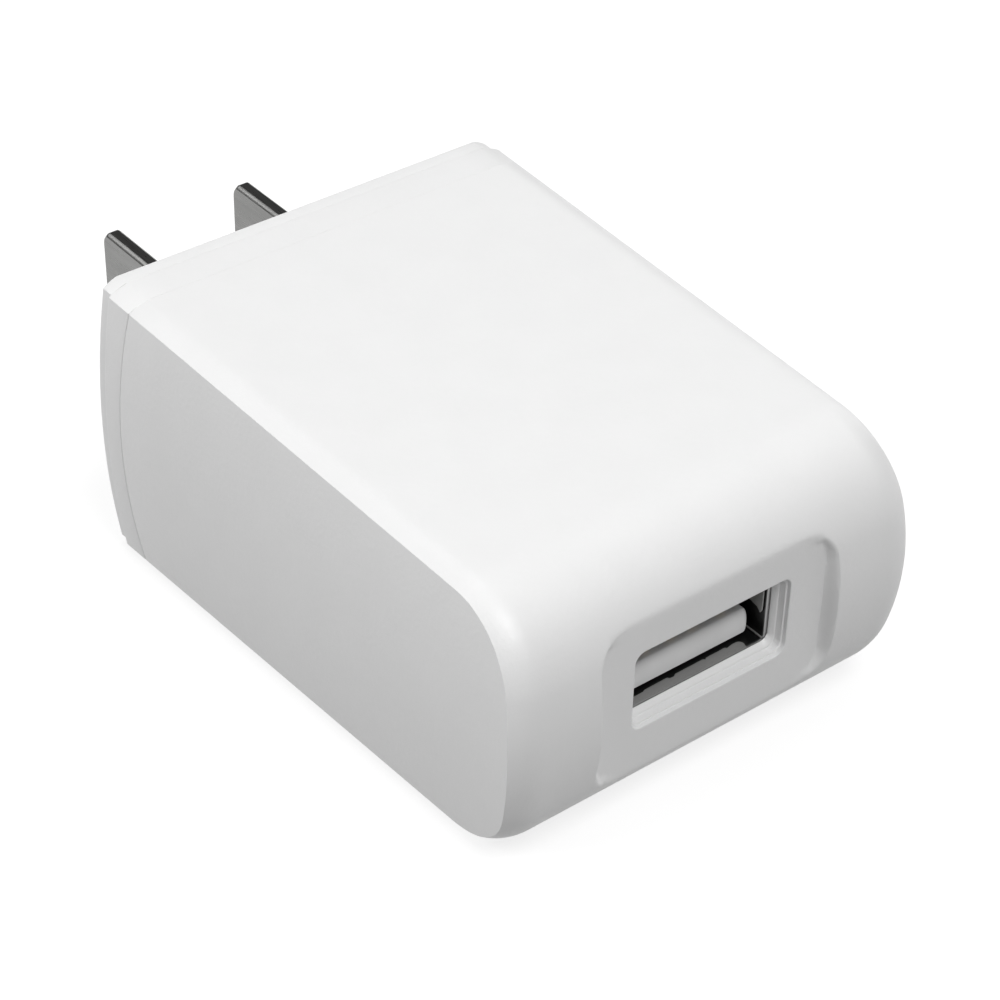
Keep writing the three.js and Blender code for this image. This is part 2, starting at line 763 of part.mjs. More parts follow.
// The folded sheet between the live half of the board and the port
function insulationSheet() {
  const thickness = 0.3;
  const y = -34.7;
  const top = BOARD_Z - GAP;
  const floor = -8.4;
  const flapEnd = -43;
  const side = polygon([
    [y, top],
    [y, floor],
    [flapEnd, floor],
    [flapEnd, floor + thickness],
    [y - thickness, floor + thickness],
    [y - thickness, top],
  ]);
  return alongX(side, -7, 7);
}

// ---------------------------------------------------------------- board layout

const INPUT_CAN_X = [-10.2, -1.4];
const OUTPUT_CAN_X = [-11.1, 11.1];
const CAN_ROW_Y = -16;
const OUTPUT_CAN_Y = -40;
const CHOKE_X = 6.4;
const RESISTOR_X = 12.1;
const RESISTOR_LEAD_Y = 5;
const TRANSFORMER_Y = -27.3;
const SAFETY_CAPACITOR = [12.2, -28];
const WIRE_Y = BOARD_BACK_Y - 1.3;
const LEADS = {
  inputCan: [[-1.75, 0], [1.75, 0]],
  outputCan: [[0, -1.25], [0, 1.25]],
  choke: [[-1.5, 0], [1.5, 0]],
  disc: [[0, -2.5], [0, 2.5]],
  transformer: [-5, 0, 5].flatMap((x) => [[x, -5.6], [x, 5.6]]),
};

function placed(leads, x, y) {
  return leads.map(([leadX, leadY]) => [x + leadX, y + leadY]);
}

function boardHoles() {
  return [
    ...INPUT_CAN_X.flatMap((x) => placed(LEADS.inputCan, x, CAN_ROW_Y)),
    ...OUTPUT_CAN_X.flatMap((x) => placed(LEADS.outputCan, x, OUTPUT_CAN_Y)),
    ...placed(LEADS.choke, CHOKE_X, CAN_ROW_Y),
    ...placed(LEADS.disc, ...SAFETY_CAPACITOR),
    ...placed(LEADS.transformer, 0, TRANSFORMER_Y),
    [RESISTOR_X, CAN_ROW_Y - RESISTOR_LEAD_Y],
    [RESISTOR_X, CAN_ROW_Y + RESISTOR_LEAD_Y],
  ];
}

// The board, with a hole for each lead, a slot for each shell leg and an isolation slot
function mainBoard() {
  const middleY = (BOARD_FRONT_Y + BOARD_BACK_Y) / 2;
  const outline = roundedRectangle(2 * BOARD_HALF_WIDTH, BOARD_BACK_Y - BOARD_FRONT_Y, 0.8, middleY);
  const slot = (x, y, halfX, halfY) => {
    return box([x - halfX, y - halfY, -1], [x + halfX, y + halfY, BOARD_THICKNESS + 1]);
  };
  const drilled = (x, y, radius) => {
    const wall = [[0, -1], [radius, -1], [radius, BOARD_THICKNESS + 1], [0, BOARD_THICKNESS + 1]];
    return turned(wall, 8).translate([x, y, 0]);
  };
  return cut(
    alongZ(outline, 0, BOARD_THICKNESS),
    ...boardHoles().map(([x, y]) => drilled(x, y, LEAD_RADIUS + GAP)),
    ...[-1, 1].map((side) => drilled((side * BLADE_SPACING) / 2, WIRE_Y, WIRE_RADIUS + GAP)),
    ...legPlaces().map(([x, y]) => slot(x, y, SHEET_METAL / 2 + GAP, 0.8 + GAP)),
    ...CONTACT_X.map((x) => slot(x, contactPinY(), 0.5 + GAP, 0.2 + GAP)),
    slot(-9, -31, 3, 0.5),
  );
}

// A lead from behind a blade's tail up through the board
function bladeWire() {
  const start = TAIL_END_Y - WIRE_RADIUS - GAP;
  return wire(
    [
      [0, start, -1.4],
      [0, start, 0.6],
      [0, (start + WIRE_Y) / 2, 1.9],
      [0, WIRE_Y, 3],
      [0, WIRE_Y, BOARD_Z + LEAD_END],
    ],
    WIRE_RADIUS,
  );
}

// ---------------------------------------------------------------- assembly

const charger = new THREE.Group();

function piece(parent, name, made, look, x = 0, y = 0) {
  const mesh = new THREE.Mesh(geometryOf(made), look);
  mesh.name = name;
  mesh.position.set(x, y, 0);
  parent.add(mesh);
  return mesh;
}

function addCasing() {
  piece(charger, "front_housing", frontHousing(), WHITE_PLASTIC);
  piece(charger, "back_cover", backCover(), WHITE_PLASTIC);
  piece(charger, "blade_retainer", bladeRetainer(), WHITE_PLASTIC);
  const form = blade();
  piece(charger, "blade_left", form, BLADE_METAL, -BLADE_SPACING / 2);
  piece(charger, "blade_right", form, BLADE_METAL, BLADE_SPACING / 2);
}

function addReceptacle() {
  piece(charger, "usb_shell", usbShell(), SHELL_METAL);
  piece(charger, "usb_insulator", usbInsulator(), TONGUE_PLASTIC);
  CONTACT_X.forEach((x, i) => piece(charger, `usb_contact_${i + 1}`, usbContact(), GOLD_CONTACT, x));
}

function addWiring() {
  piece(charger, "blade_wire_left", bladeWire(), WIRE_RED, -BLADE_SPACING / 2);
  piece(charger, "blade_wire_right", bladeWire(), WIRE_RED, BLADE_SPACING / 2);
  piece(charger, "insulation_sheet", insulationSheet(), CLEAR_SHEET);
}

function addTransformer(board) {
  const transformer = new THREE.Group();
  transformer.position.set(0, TRANSFORMER_Y, 0);
  board.add(transformer);
  const half = transformerCoreHalf();
  piece(transformer, "transformer_core_front", half, FERRITE);
  const rear = piece(transformer, "transformer_core_rear", half, FERRITE);
  rear.rotation.z = Math.PI;
  piece(transformer, "transformer_bobbin", transformerBobbin(LEADS.transformer), BOBBIN_BLACK);
  piece(transformer, "transformer_winding", transformerWinding(), TAPE_YELLOW);
}

function addHangingParts(board) {
  INPUT_CAN_X.forEach((x, i) => {
    const can = electrolyticCan(4, 11, LEADS.inputCan);
    piece(board, `input_capacitor_${i + 1}`, can, CAN_SLEEVE, x, CAN_ROW_Y);
  });
  OUTPUT_CAN_X.forEach((x, i) => {
    const can = electrolyticCan(3.15, 10, LEADS.outputCan);
    piece(board, `output_capacitor_${i + 1}`, can, CAN_SLEEVE, x, OUTPUT_CAN_Y);
  });
  piece(board, "input_choke", inputChoke(LEADS.choke), CHOKE_SLEEVE, CHOKE_X, CAN_ROW_Y);
  piece(board, "fusible_resistor", fusibleResistor(RESISTOR_LEAD_Y), RESISTOR_BODY, RESISTOR_X, CAN_ROW_Y);
  piece(board, "safety_capacitor", safetyCapacitor(LEADS.disc), DISC_BLUE, ...SAFETY_CAPACITOR);
}

function addSurfaceParts(board) {
  const bridge = { width: 4, length: 4.7, height: 2.4, legs: 2, legWidth: 0.7, legReach: 1.1 };
  piece(board, "bridge_rectifier", legPackage(bridge), CHIP_BLACK, 0, -12.3);
  const controller = { width: 3.9, length: 4.9, height: 1.5, legs: 4, legWidth: 0.42, legReach: 1 };
  piece(board, "controller_chip", legPackage(controller), CHIP_BLACK, -9, -24.5);
  const portChip = { width: 1.6, length: 2.9, height: 1.1, legs: 3, legWidth: 0.4, legReach: 0.6 };
  piece(board, "port_chip", legPackage(portChip), CHIP_BLACK, 8.9, -34.5);
  const diode = { width: 6.2, length: 5.8, height: 2.2, legs: 1, legWidth: 3, legReach: 0.7 };
  piece(board, "output_rectifier", legPackage(diode), CHIP_BLACK, 0, -40.4);
  const resistorPlaces = [[-12.2, -19.6], [-5.2, -18.6], [8, -20.4], [12.7, -34]];
  resistorPlaces.forEach(([x, y], i) => {
    piece(board, `chip_resistor_${i + 1}`, chipPart(3.2, 1.6, 0.55), CHIP_BLACK, x, y);
  });
  const capacitorPlaces = [[-9.2, -28.7], [-8.6, -35.2], [8.2, -31.4]];
  capacitorPlaces.forEach(([x, y], i) => {
    piece(board, `chip_capacitor_${i + 1}`, chipPart(2, 1.25, 0.9), CHIP_CERAMIC, x, y);
  });
}

function addBoard() {
  const board = new THREE.Group();
  board.position.set(0, 0, BOARD_Z);
  charger.add(board);
  piece(board, "main_board", mainBoard(), BOARD_GREEN);
  addTransformer(board);
  addHangingParts(board);
  addSurfaceParts(board);
}

addCasing();
addReceptacle();
addWiring();
addBoard();

export default charger;
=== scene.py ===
"""A white two-blade USB wall charger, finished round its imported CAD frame.

The frame is +X across the width, +Y out of the wall face along the blades and +Z up. Lengths in this
file are in millimetres until make_mesh turns them into metres.
"""
import functools
import json
import math

import bmesh
import bpy
import numpy as np
from mathutils import Matrix, Vector


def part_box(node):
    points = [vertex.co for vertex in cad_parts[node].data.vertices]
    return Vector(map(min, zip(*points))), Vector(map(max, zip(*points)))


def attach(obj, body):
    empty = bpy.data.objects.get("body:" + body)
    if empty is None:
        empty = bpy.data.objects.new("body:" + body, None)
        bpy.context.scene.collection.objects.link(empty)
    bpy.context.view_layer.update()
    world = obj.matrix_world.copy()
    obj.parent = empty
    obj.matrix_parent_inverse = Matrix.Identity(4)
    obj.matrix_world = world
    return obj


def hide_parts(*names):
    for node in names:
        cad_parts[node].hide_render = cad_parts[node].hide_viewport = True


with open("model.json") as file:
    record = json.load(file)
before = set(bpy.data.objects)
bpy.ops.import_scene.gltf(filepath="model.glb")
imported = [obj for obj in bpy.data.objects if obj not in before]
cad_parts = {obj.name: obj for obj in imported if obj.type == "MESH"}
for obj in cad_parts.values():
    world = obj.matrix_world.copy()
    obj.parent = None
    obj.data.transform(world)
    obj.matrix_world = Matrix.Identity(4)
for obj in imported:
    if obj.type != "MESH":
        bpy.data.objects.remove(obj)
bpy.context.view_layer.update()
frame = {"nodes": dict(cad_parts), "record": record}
NODES = frame["nodes"]
MM = 0.001

# Edges sharper than this many degrees stay sharp, unless a piece says otherwise
SMOOTH_ANGLE = 28.0

# ------------------------------------------------------------------ driving dimensions

# Body. The width and height are those at the seam, and both shrink towards the front.
BODY_WIDTH = 36.2
BODY_HEIGHT = 24.28
WIDTH_TAPER = 0.02
HEIGHT_TAPER = 0.03
SIDE_CROWN = 0.97
SEAM_Y = -4.06
SEAM_ARCH = 0.75
SEAM_GAP = 0.006
SEAM_ROUND_SIDE = 0.12
SEAM_ROUND_TOP = 0.005
SEAM_FADE = 0.5
FRONT_Y = -50.12
FRONT_CROWN_RADIUS = 22.2
CORNER_RADIUS = 7.83
WALL = 2.0
FRONT_WALL = 3.2
HOLLOW_BACK_Y = 1.0
# Where loops stand: shares of the flat stretch, and of the rounded edge in front of the seam
FLAT_LOOPS = (0.12, 0.3, 0.5, 0.7, 0.88)
SEAM_LOOPS = (1.0, 0.62, 0.38, 0.2, 0.08, 0.02)

# Curved strip between each large face and the sides, ending in a crease
STRIP_WIDTH = 1.81
STRIP_DROP = 0.68
STRIP_FLATNESS = 0.55
FRONT_STRIP_WIDTH = 2.5
FRONT_STRIP_DROP = 0.93
CREASE_RADIUS = 6.7

# Back cover
RIM_BACK_Y = -1.3
RIM_ROUND = 0.2
PAD_SIDE_INSET = 0.35
PAD_TOP_INSET = 0.12
PAD_CORNER_WIDTH = 1.2
PAD_CORNER_DROP = 0.6
PAD_ROUND = 0.2
PAD_THICKNESS = 2.4
SPIGOT_WALL = 1.2
SPIGOT_FRONT_Y = -7.6
SPIGOT_GAP = 0.3

# Port recess and opening
FACET_Y = -48.9
FACET_WIDTH = 21.1
FACET_HEIGHT = 13.8
FACET_CORNER = 3.0
FACET_WALL = 0.6
FACET_SOFTNESS = 0.12
FACET_REACH = 3.0
RECESS_BAND = 0.75
LIP_WIDTH = 14.14
LIP_HEIGHT = 6.81
LIP_CORNER = 0.85
LIP_CORNER_SHRINK = 0.2
LIP_Z = 0.45
LIP_ROUND = 0.09
BEVEL_DEPTH = 1.3
BEVEL_END_Y = FACET_Y + BEVEL_DEPTH
BEVEL_END_WIDTH = 13.0
BEVEL_END_HEIGHT = 5.2
# The bevel's three faces and two small steps, as (share of the way inwards, depth)
BEVEL_PROFILE = (
    (0.06, 0.3), (0.1, 0.33), (0.2, 0.345), (0.25, 0.37), (0.42, 0.83), (0.46, 0.86),
    (0.58, 0.875), (0.63, 0.9), (0.95, 1.22), (1.0, BEVEL_DEPTH),
)
TUNNEL_GAP = 0.6
TUNNEL_CORNER = 0.5
TUNNEL_DEPTH = 6.0
# How far the cutter stands off the planes that it would otherwise share
LIP_LEAD = 0.002
TUNNEL_LEAD = 0.01

# USB-A receptacle
PORT_WIDTH = 12.5
PORT_HEIGHT = 5.12
PORT_Z = 0.32
SHEET_METAL = 0.3
TONGUE_WIDTH = 11.1
TONGUE_LOW_Z = -1.8
TONGUE_HIGH_Z = 0.14
TONGUE_TIP_Y = -46.55
TONGUE_REACH = 7.6
TONGUE_CORNER = 0.4
TONGUE_NOSE_DEPTH = 0.45
TONGUE_NOSE_DROP = 1.5
TONGUE_NOSE_RISE = 0.06
TONGUE_NOSE_NARROWING = 0.5
BLOCK_GAP = 0.3
BLOCK_CORNER = 0.3
PORT_CORNER = 0.35
MOUTH_CORNER = 0.42
SHELL_CORNER = 0.6
SHELL_EDGE = 0.08
SHELL_EDGE_INSET = 0.05
# Painted shade in the port: the shell's colour is lighter up to the first distance behind its mouth, and
# painted dark from the second, for the shade deep inside
MOUTH_SHADE_FADE = (0.1, 0.3)

# The strips of the shell that show in its mouth: a floor tab with a torn edge, a spring and a fold
STRIP_METAL = 0.12
STRIP_EDGE = 0.03
TAB_DEPTH = 0.8
TAB_RIGHT_X = 4.7
TAB_CORNER = 0.4
TAB_CORNER_SLANT = 0.1
TAB_SIDE_GAP = 0.1
TAB_FRONT_GAP = 0.02
TAB_LIFT = 0.02
# The tab's torn back edge, as (x, share of TAB_DEPTH)
TAB_TORN_EDGE = (
    (3.9, 1.0), (3.4, 0.86), (3.3, 1.04), (1.5, 1.02), (1.4, 0.84), (1.25, 1.04), (-1.4, 1.0),
    (-1.6, 0.8), (-2.0, 0.84), (-2.1, 1.05), (-4.2, 1.0), (-4.4, 0.86),
)
# The wall spring's outline, as (distance behind its front, z)
SPRING_OUTLINE = (
    (0, 2.6), (0, 0.3), (0.15, 0.0), (0.45, 0.35), (1.3, 0.55), (2.6, 0.8), (4.2, 1.1), (4.2, 2.6),
)
SPRING_SETBACK = 0.3
SPRING_STANDOFF = 0.2
SPRING_LEAN = 0.06
FOLD_RADIUS = 0.07
FOLD_OFFSET = 0.16
FOLD_START = 0.12
FOLD_END = 2.6
FOLD_SMOOTH_ANGLE = 50.0

# Blades. The edge angles, in degrees, are those of the three small flats over each worn edge.
BLADE_HEIGHT = 6.35
BLADE_THICKNESS = 1.4
BLADE_EDGE = 0.3
BLADE_EDGE_ANGLES = (33, 45, 57)
BLADE_SMOOTH_ANGLE = 13.0
BLADE_SLOT_GAP = 0.06
BLADE_TIP_ROUND = 1.0
BLADE_TIP_BOW = 0.6
BLADE_HOLE_Y = 11.7
BLADE_HOLE_RADIUS = 1.6
SHOULDER_HEIGHT = 9.0
SHOULDER_DEPTH = 1.5
SHOULDER_GAP = 0.3
TAIL_HEIGHT = 4.0

# Finishes: patches per metre, and how far roughness strays from its value
PATCHES = 260
ROUGHNESS_DRIFT = 0.12

# Camera: where the photographer stood, in millimetres and degrees
CAMERA_PLACE = (-104.337, -153.885, 126.175)
CAMERA_AZIMUTH = -39.055
CAMERA_ELEVATION = 37.473
CAMERA_ROLL = 1.556
CAMERA_LENS = 101.37
SENSOR_WIDTH = 36.0

# The floor glows like a light table, so that it stays white with only a faint shadow. FLOOR_REACH is in
# metres, to each side.
FLOOR_ALBEDO = 0.3
FLOOR_GLOW = 0.75
FLOOR_ROUGHNESS = 0.9
FLOOR_SPECULAR = 0.1
FLOOR_REACH = 20.0
FLOOR_GAP = 0.02

# Soft round lights, LIGHT_DISTANCE metres away: azimuth and elevation in degrees, watts, and metres
# across. Azimuth 0 is in front and -90 at the left.
LIGHTS = {
    "front": (0, 60, 5.8, 0.5),
    "back": (180, 75, 1.3, 0.5),
    "left": (-108, 38, 3.6, 0.5),
    "right": (90, 60, 0.6, 0.5),
    "rim": (-145, 31, 1.15, 0.4),
    "low_right": (110, 12, 1.2, 0.5),
}
LIGHT_DISTANCE = 1.0
ROOM_LIGHT = 0.28


# ------------------------------------------------------------------ meshes


def make_mesh(name, points, faces, smooth_angle=SMOOTH_ANGLE):
    """A piece from points in millimetres, smooth except over edges sharper than smooth_angle."""
    mesh = bpy.data.meshes.new(name)
    mesh.from_pydata([tuple(p) for p in np.asarray(points) * MM], [], faces)
    mesh.validate()
    piece = bpy.data.objects.new(name, mesh)
    bpy.context.scene.collection.objects.link(piece)
    orient(piece)
    smooth(piece, smooth_angle)
    return piece


def orient(piece):
    """Welds doubled points and turns every face outwards."""
    work = bmesh.new()
    work.from_mesh(piece.data)
    bmesh.ops.remove_doubles(work, verts=work.verts, dist=1e-4 * MM)
    bmesh.ops.recalc_face_normals(work, faces=work.faces)
    work.to_mesh(piece.data)
    work.free()


def smooth(piece, angle):
    """Shades a piece smooth, except over edges sharper than an angle in degrees."""
    piece.data.shade_smooth()
    piece.data.set_sharp_from_angle(angle=math.radians(angle))


def apply_modifiers(piece):
    """Replaces a piece's mesh by what its modifiers make of it."""
    graph = bpy.context.evaluated_depsgraph_get()
    final = bpy.data.meshes.new_from_object(piece.evaluated_get(graph))
    old = piece.data
    piece.modifiers.clear()
    piece.data = final
    bpy.data.meshes.remove(old)
    final.name = piece.name


def carve(piece, *cutters, smooth_angle=SMOOTH_ANGLE):
    """Cuts the cutters out of a piece, and removes them."""
    for cutter in cutters:
        modifier = piece.modifiers.new("carve", "BOOLEAN")
        modifier.operation = "DIFFERENCE"
        modifier.solver = "EXACT"
        modifier.object = cutter
    bpy.context.view_layer.update()
    apply_modifiers(piece)
    for cutter in cutters:
        bpy.data.objects.remove(cutter)
    smooth(piece, smooth_angle)
    return piece


def box_piece(name, low, high):
    """A box between two opposite corners."""
    corners = [(x, y, z) for x in (low[0], high[0]) for y in (low[1], high[1]) for z in (low[2], high[2])]
    faces = [(0, 1, 3, 2), (4, 6, 7, 5), (0, 4, 5, 1), (2, 3, 7, 6), (0, 2, 6, 4), (1, 5, 7, 3)]
    return make_mesh(name, corners, faces)


def band_faces(count, rings, closed=False):
    """Quads between neighbouring rings of count points, and from the last to the first if closed."""
    faces = []
    for k in range(rings if closed else rings - 1):
        n = (k + 1) % rings
        for i in range(count):
            j = (i + 1) % count
            faces.append((k * count + i, k * count + j, n * count + j, n * count + i))
    return faces


def rings_piece(name, rings, smooth_angle=SMOOTH_ANGLE):
    """A closed piece through rings of equally many points, with a flat cap on each end."""
    count = len(rings[0])
    last = (len(rings) - 1) * count
    faces = band_faces(count, len(rings))
    faces.append(tuple(range(count)))
    faces.append(tuple(range(last, last + count)))
    return make_mesh(name, np.concatenate(rings), faces, smooth_angle)


def quarter_turn(steps):
    """Angles from 0 to a right angle, in equal steps."""
    return [math.pi / 2 * step / steps for step in range(steps + 1)]


def rounded_rectangle(width, height, radius, middle):
    """Points (x, z) round a rectangle with round corners, centred at x = 0 and z = middle."""
    points = []
    corners = ((1, 1), (-1, 1), (-1, -1), (1, -1))
    for quarter, (sx, sz) in enumerate(corners):
        for turn in quarter_turn(8):
            angle = math.pi / 2 * quarter + turn
            x = sx * (width / 2 - radius) + radius * math.cos(angle)
            z = middle + sz * (height / 2 - radius) + radius * math.sin(angle)
            points.append((x, z))
    return np.array(points)


def circle(radius, count, middle_a=0.0, middle_b=0.0):
    """Points round a circle, as pairs of plane coordinates."""
    angles = np.linspace(0, 2 * math.pi, count + 1)[:-1]
    return np.column_stack([middle_a + radius * np.cos(angles), middle_b + radius * np.sin(angles)])


def at_y(outline, y):
    """An outline of (x, z) pairs as points at a y."""
    return np.column_stack([outline[:, 0], np.full(len(outline), y), outline[:, 1]])


def at_x(outline, x):
    """An outline of (y, z) pairs as points at an x."""
    return np.column_stack([np.full(len(outline), x), outline])


# ------------------------------------------------------------------ body form


def half_width(y):
    """Half the body's width at y, up to the crease, without the sides' crown."""
    return BODY_WIDTH / 2 - WIDTH_TAPER * (SEAM_Y - y)


def half_height(y):
    """Half the body's height at y."""
    return BODY_HEIGHT / 2 - HEIGHT_TAPER * (SEAM_Y - y)


def side_x(y, z, inset):
    """How far out the crowned side face stands at a place on it."""
    share = np.minimum(np.abs(z) / (half_height(y) - inset - STRIP_DROP), 1.0)
    return half_width(y) - inset + SIDE_CROWN * (1 - share**2)


def seam_y(z):
    """The seam runs straight across the large faces and arches back over the sides."""
    return SEAM_Y + SEAM_ARCH * (1 - (z / (BODY_HEIGHT / 2 - STRIP_DROP)) ** 2)


def side_outline(front_y, radius, drop, counts, back):
    """Upper half of the outline seen from the side, front to back.

    counts are the steps over the front's crown and round its corner, and the loops of the flat
    stretch as (share of the way to the back, distance in front of it). Each row is y, z, the angle
    of the surface's normal above the horizontal, and the share of the way along the flat stretch.
    """
    crown_steps, corner_steps, flat = counts
    corner_z = half_height(front_y + radius) - drop - radius
    slope = 0.0
    # The crown meets the corner where both have the same slope, which a few rounds settle
    for _ in range(8):
        slope = math.atan((corner_z + radius * math.sin(slope)) / FRONT_CROWN_RADIUS)
    start_z = corner_z + radius * math.sin(slope)
    rows = []
    for z in np.linspace(0, start_z, crown_steps + 1)[:-1]:
        rows.append((front_y + z * z / (2 * FRONT_CROWN_RADIUS), z, math.atan(z / FRONT_CROWN_RADIUS), 0))
    corner_y = front_y + start_z**2 / (2 * FRONT_CROWN_RADIUS) + radius * math.cos(slope)
    for angle in np.linspace(slope, math.pi / 2, corner_steps + 1):
        rows.append((corner_y - radius * math.cos(angle), corner_z + radius * math.sin(angle), angle, 0))
    for share, short in flat:
        z = half_height(corner_y) - drop
        for _ in range(3):
            y = corner_y + (back(z) - corner_y) * share - short
            z = half_height(y) - drop
        rows.append((y, z, math.pi / 2, share))
    return np.array(rows)


def strip_row(face, crease, inset, share):
    """One row of the curved strip, from the large face (share 0) to the crease (share 1)."""
    width = STRIP_WIDTH + (FRONT_STRIP_WIDTH - STRIP_WIDTH) * np.cos(face[:, 2])
    inwards = np.abs(crease[:, 0] - face[:, 0]) * np.cos(face[:, 2])
    downwards = np.abs(crease[:, 1] - face[:, 1]) * np.sin(face[:, 2])
    turn = 2 * np.arctan((inwards + downwards) / width)
    across = np.sin(turn * share) / np.sin(turn)
    down = (1 - np.cos(turn * share)) / (1 - np.cos(turn))
    x = side_x(crease[:, 0], crease[:, 1], inset) - width * (1 - across)
    y = face[:, 0] + (crease[:, 0] - face[:, 0]) * down
    z = face[:, 1] + (crease[:, 1] - face[:, 1]) * down
    return np.column_stack([x, y, z])


def body_grid(inset, front_inset, stations, counts, strip_steps, column_steps, back):
    """The body as closed loops in x order, the two side faces, and a cap over the back.

    stations are the shares of the half width between the strips where a loop stands. Returns the
    points and the faces.
    """
    front = FRONT_Y + front_inset
    face = side_outline(front, CORNER_RADIUS - inset, inset, counts, back)
    crease = side_outline(
        front + FRONT_STRIP_DROP, CREASE_RADIUS - inset, inset + STRIP_DROP, counts, back
    )
    strip = [strip_row(face, crease, inset, k / strip_steps) for k in range(strip_steps + 1)]
    rows = [row * (-1, 1, 1) for row in strip[:0:-1]]
    rows += [strip[0] * (share, 1, 1) for share in stations]
    rows += strip[1:]
    down = np.linspace(1, -1, column_steps + 1)[1:-1]
    loops = []
    for row in rows:
        top = row[-1]
        column = np.column_stack([np.full(len(down), top[0]), back(top[2] * down), top[2] * down])
        lower = (row * (1, 1, -1))[:0:-1]
        loops.append(np.concatenate([row, column, lower]))
    length = len(loops[0])
    faces = band_faces(length, len(loops))
    points = list(np.concatenate(loops))
    for side, base in ((-1, 0), (1, (len(loops) - 1) * length)):
        columns = side_columns(points, base, length, crease, down, side, inset, back)
        faces += side_faces(columns, base, len(crease), len(down))
    return np.array(points), faces


def side_columns(points, base, length, crease, down, side, inset, back):
    """Adds a side face's inner points, and returns its columns of point numbers, front to back.

    base is the number of the loop's first point, and length is how many points the loop has.
    """
    columns = []
    for i in range(1, len(crease)):
        y, z, _, share = crease[i]
        places = z * down
        y_here = y + (back(places) - back(z)) * share
        start = len(points)
        points.extend(np.column_stack([side * side_x(y_here, places, inset), y_here, places]))
        columns.append([base + i, *range(start, start + len(down)), base + length - i])
    return columns


def side_faces(columns, base, count, inner):
    """The faces between a side's columns, with a fan at the front and a cap's edge at the back."""
    faces = [(base, a, b) for a, b in zip(columns[0][:-1], columns[0][1:])]
    for one, two in zip(columns[:-1], columns[1:]):
        for k in range(inner + 1):
            faces.append((one[k], two[k], two[k + 1], one[k + 1]))
    rim = columns[-1]
    straight = [rim[0], *range(base + count, base + count + inner), rim[-1]]
    for k in range(inner + 1):
        quad = (rim[k], straight[k], straight[k + 1], rim[k + 1])
        faces.append(tuple(dict.fromkeys(quad)))
    return faces


def signed_distance(x, z, half_x, half_z, radius):
    """Distance outside a rounded rectangle, negative inside it."""
    out_x = np.abs(x) - (half_x - radius)
    out_z = np.abs(z) - (half_z - radius)
    outside = np.hypot(np.maximum(out_x, 0), np.maximum(out_z, 0))
    return outside + np.minimum(np.maximum(out_x, out_z), 0) - radius


def smoothstep(value):
    """A soft step from 0 to 1 as the value goes from 0 to 1."""
    t = np.clip(value, 0, 1)
    return t * t * (3 - 2 * t)


def press_recess(points):
    """Presses the flat port recess into the bullnose, with soft edges."""
    x, y, z = points.T
    distance = signed_distance(x, z, FACET_WIDTH / 2, FACET_HEIGHT / 2, FACET_CORNER)
    mask = smoothstep(0.5 - distance / FACET_WALL)
    depth = FACET_Y - y
    pressed = 0.5 * (depth + np.sqrt(depth**2 + FACET_SOFTNESS**2))
    in_front = y < FACET_Y + FACET_REACH
    points[:, 1] = np.where(in_front, y + mask * pressed, y)
    return points


def round_seam(points):
    """Draws the edge in front of the seam inwards along a small arc, except on the flat large faces."""
    gap = np.clip(seam_y(points[:, 2]) - points[:, 1], 0, SEAM_ROUND_SIDE)
    share = 1 - np.sqrt(1 - (1 - gap / SEAM_ROUND_SIDE) ** 2)
    points[:, 0] *= 1 - SEAM_ROUND_SIDE * share / (BODY_WIDTH / 2)
    on_strip = smoothstep((np.abs(points[:, 0]) - (BODY_WIDTH / 2 - STRIP_WIDTH)) / SEAM_FADE)
    drop = SEAM_ROUND_TOP + (SEAM_ROUND_SIDE - SEAM_ROUND_TOP) * on_strip
    points[:, 2] *= 1 - drop * share / (BODY_HEIGHT / 2)
    return points


def recess_stations():
    """Shares of the half width where the loops stand, close together at the recess's walls."""
    half = BODY_WIDTH / 2 - FRONT_STRIP_WIDTH
    wall = FACET_WIDTH / 2 / half
    wide = RECESS_BAND / half
    left = np.concatenate([
        np.linspace(-1, -wall - wide, 7)[:-1],
        np.linspace(-wall - wide, -wall + wide, 17)[:-1],
        np.linspace(-wall + wide, 0, 16),
    ])
    return np.concatenate([left, -left[-2::-1]])


# ------------------------------------------------------------------ casing


def front_housing():
    """The long shell: the outer form, less the hollow and the way into the port."""
    flat = [(share, 0.0) for share in FLAT_LOOPS]
    flat += [(1.0, SEAM_ROUND_SIDE * share) for share in SEAM_LOOPS]
    flat.append((1.0, 0.0))
    points, faces = body_grid(
        inset=0.0, front_inset=0.0, stations=recess_stations(), counts=(24, 64, flat),
        strip_steps=10, column_steps=24, back=seam_y,
    )
    housing = make_mesh("housing_shell", round_seam(press_recess(points)), faces)
    return carve(housing, housing_hollow(), port_cutter())


def housing_hollow():
    """The room inside the long shell, open at the back."""
    flat = [(0.5, 0.0), (1.0, 0.0)]
    points, faces = body_grid(
        inset=WALL, front_inset=FRONT_WALL, stations=np.linspace(-1, 1, 5), counts=(4, 10, flat),
        strip_steps=3, column_steps=8, back=lambda z: np.full_like(z, HOLLOW_BACK_Y),
    )
    return make_mesh("housing_hollow", points, faces)


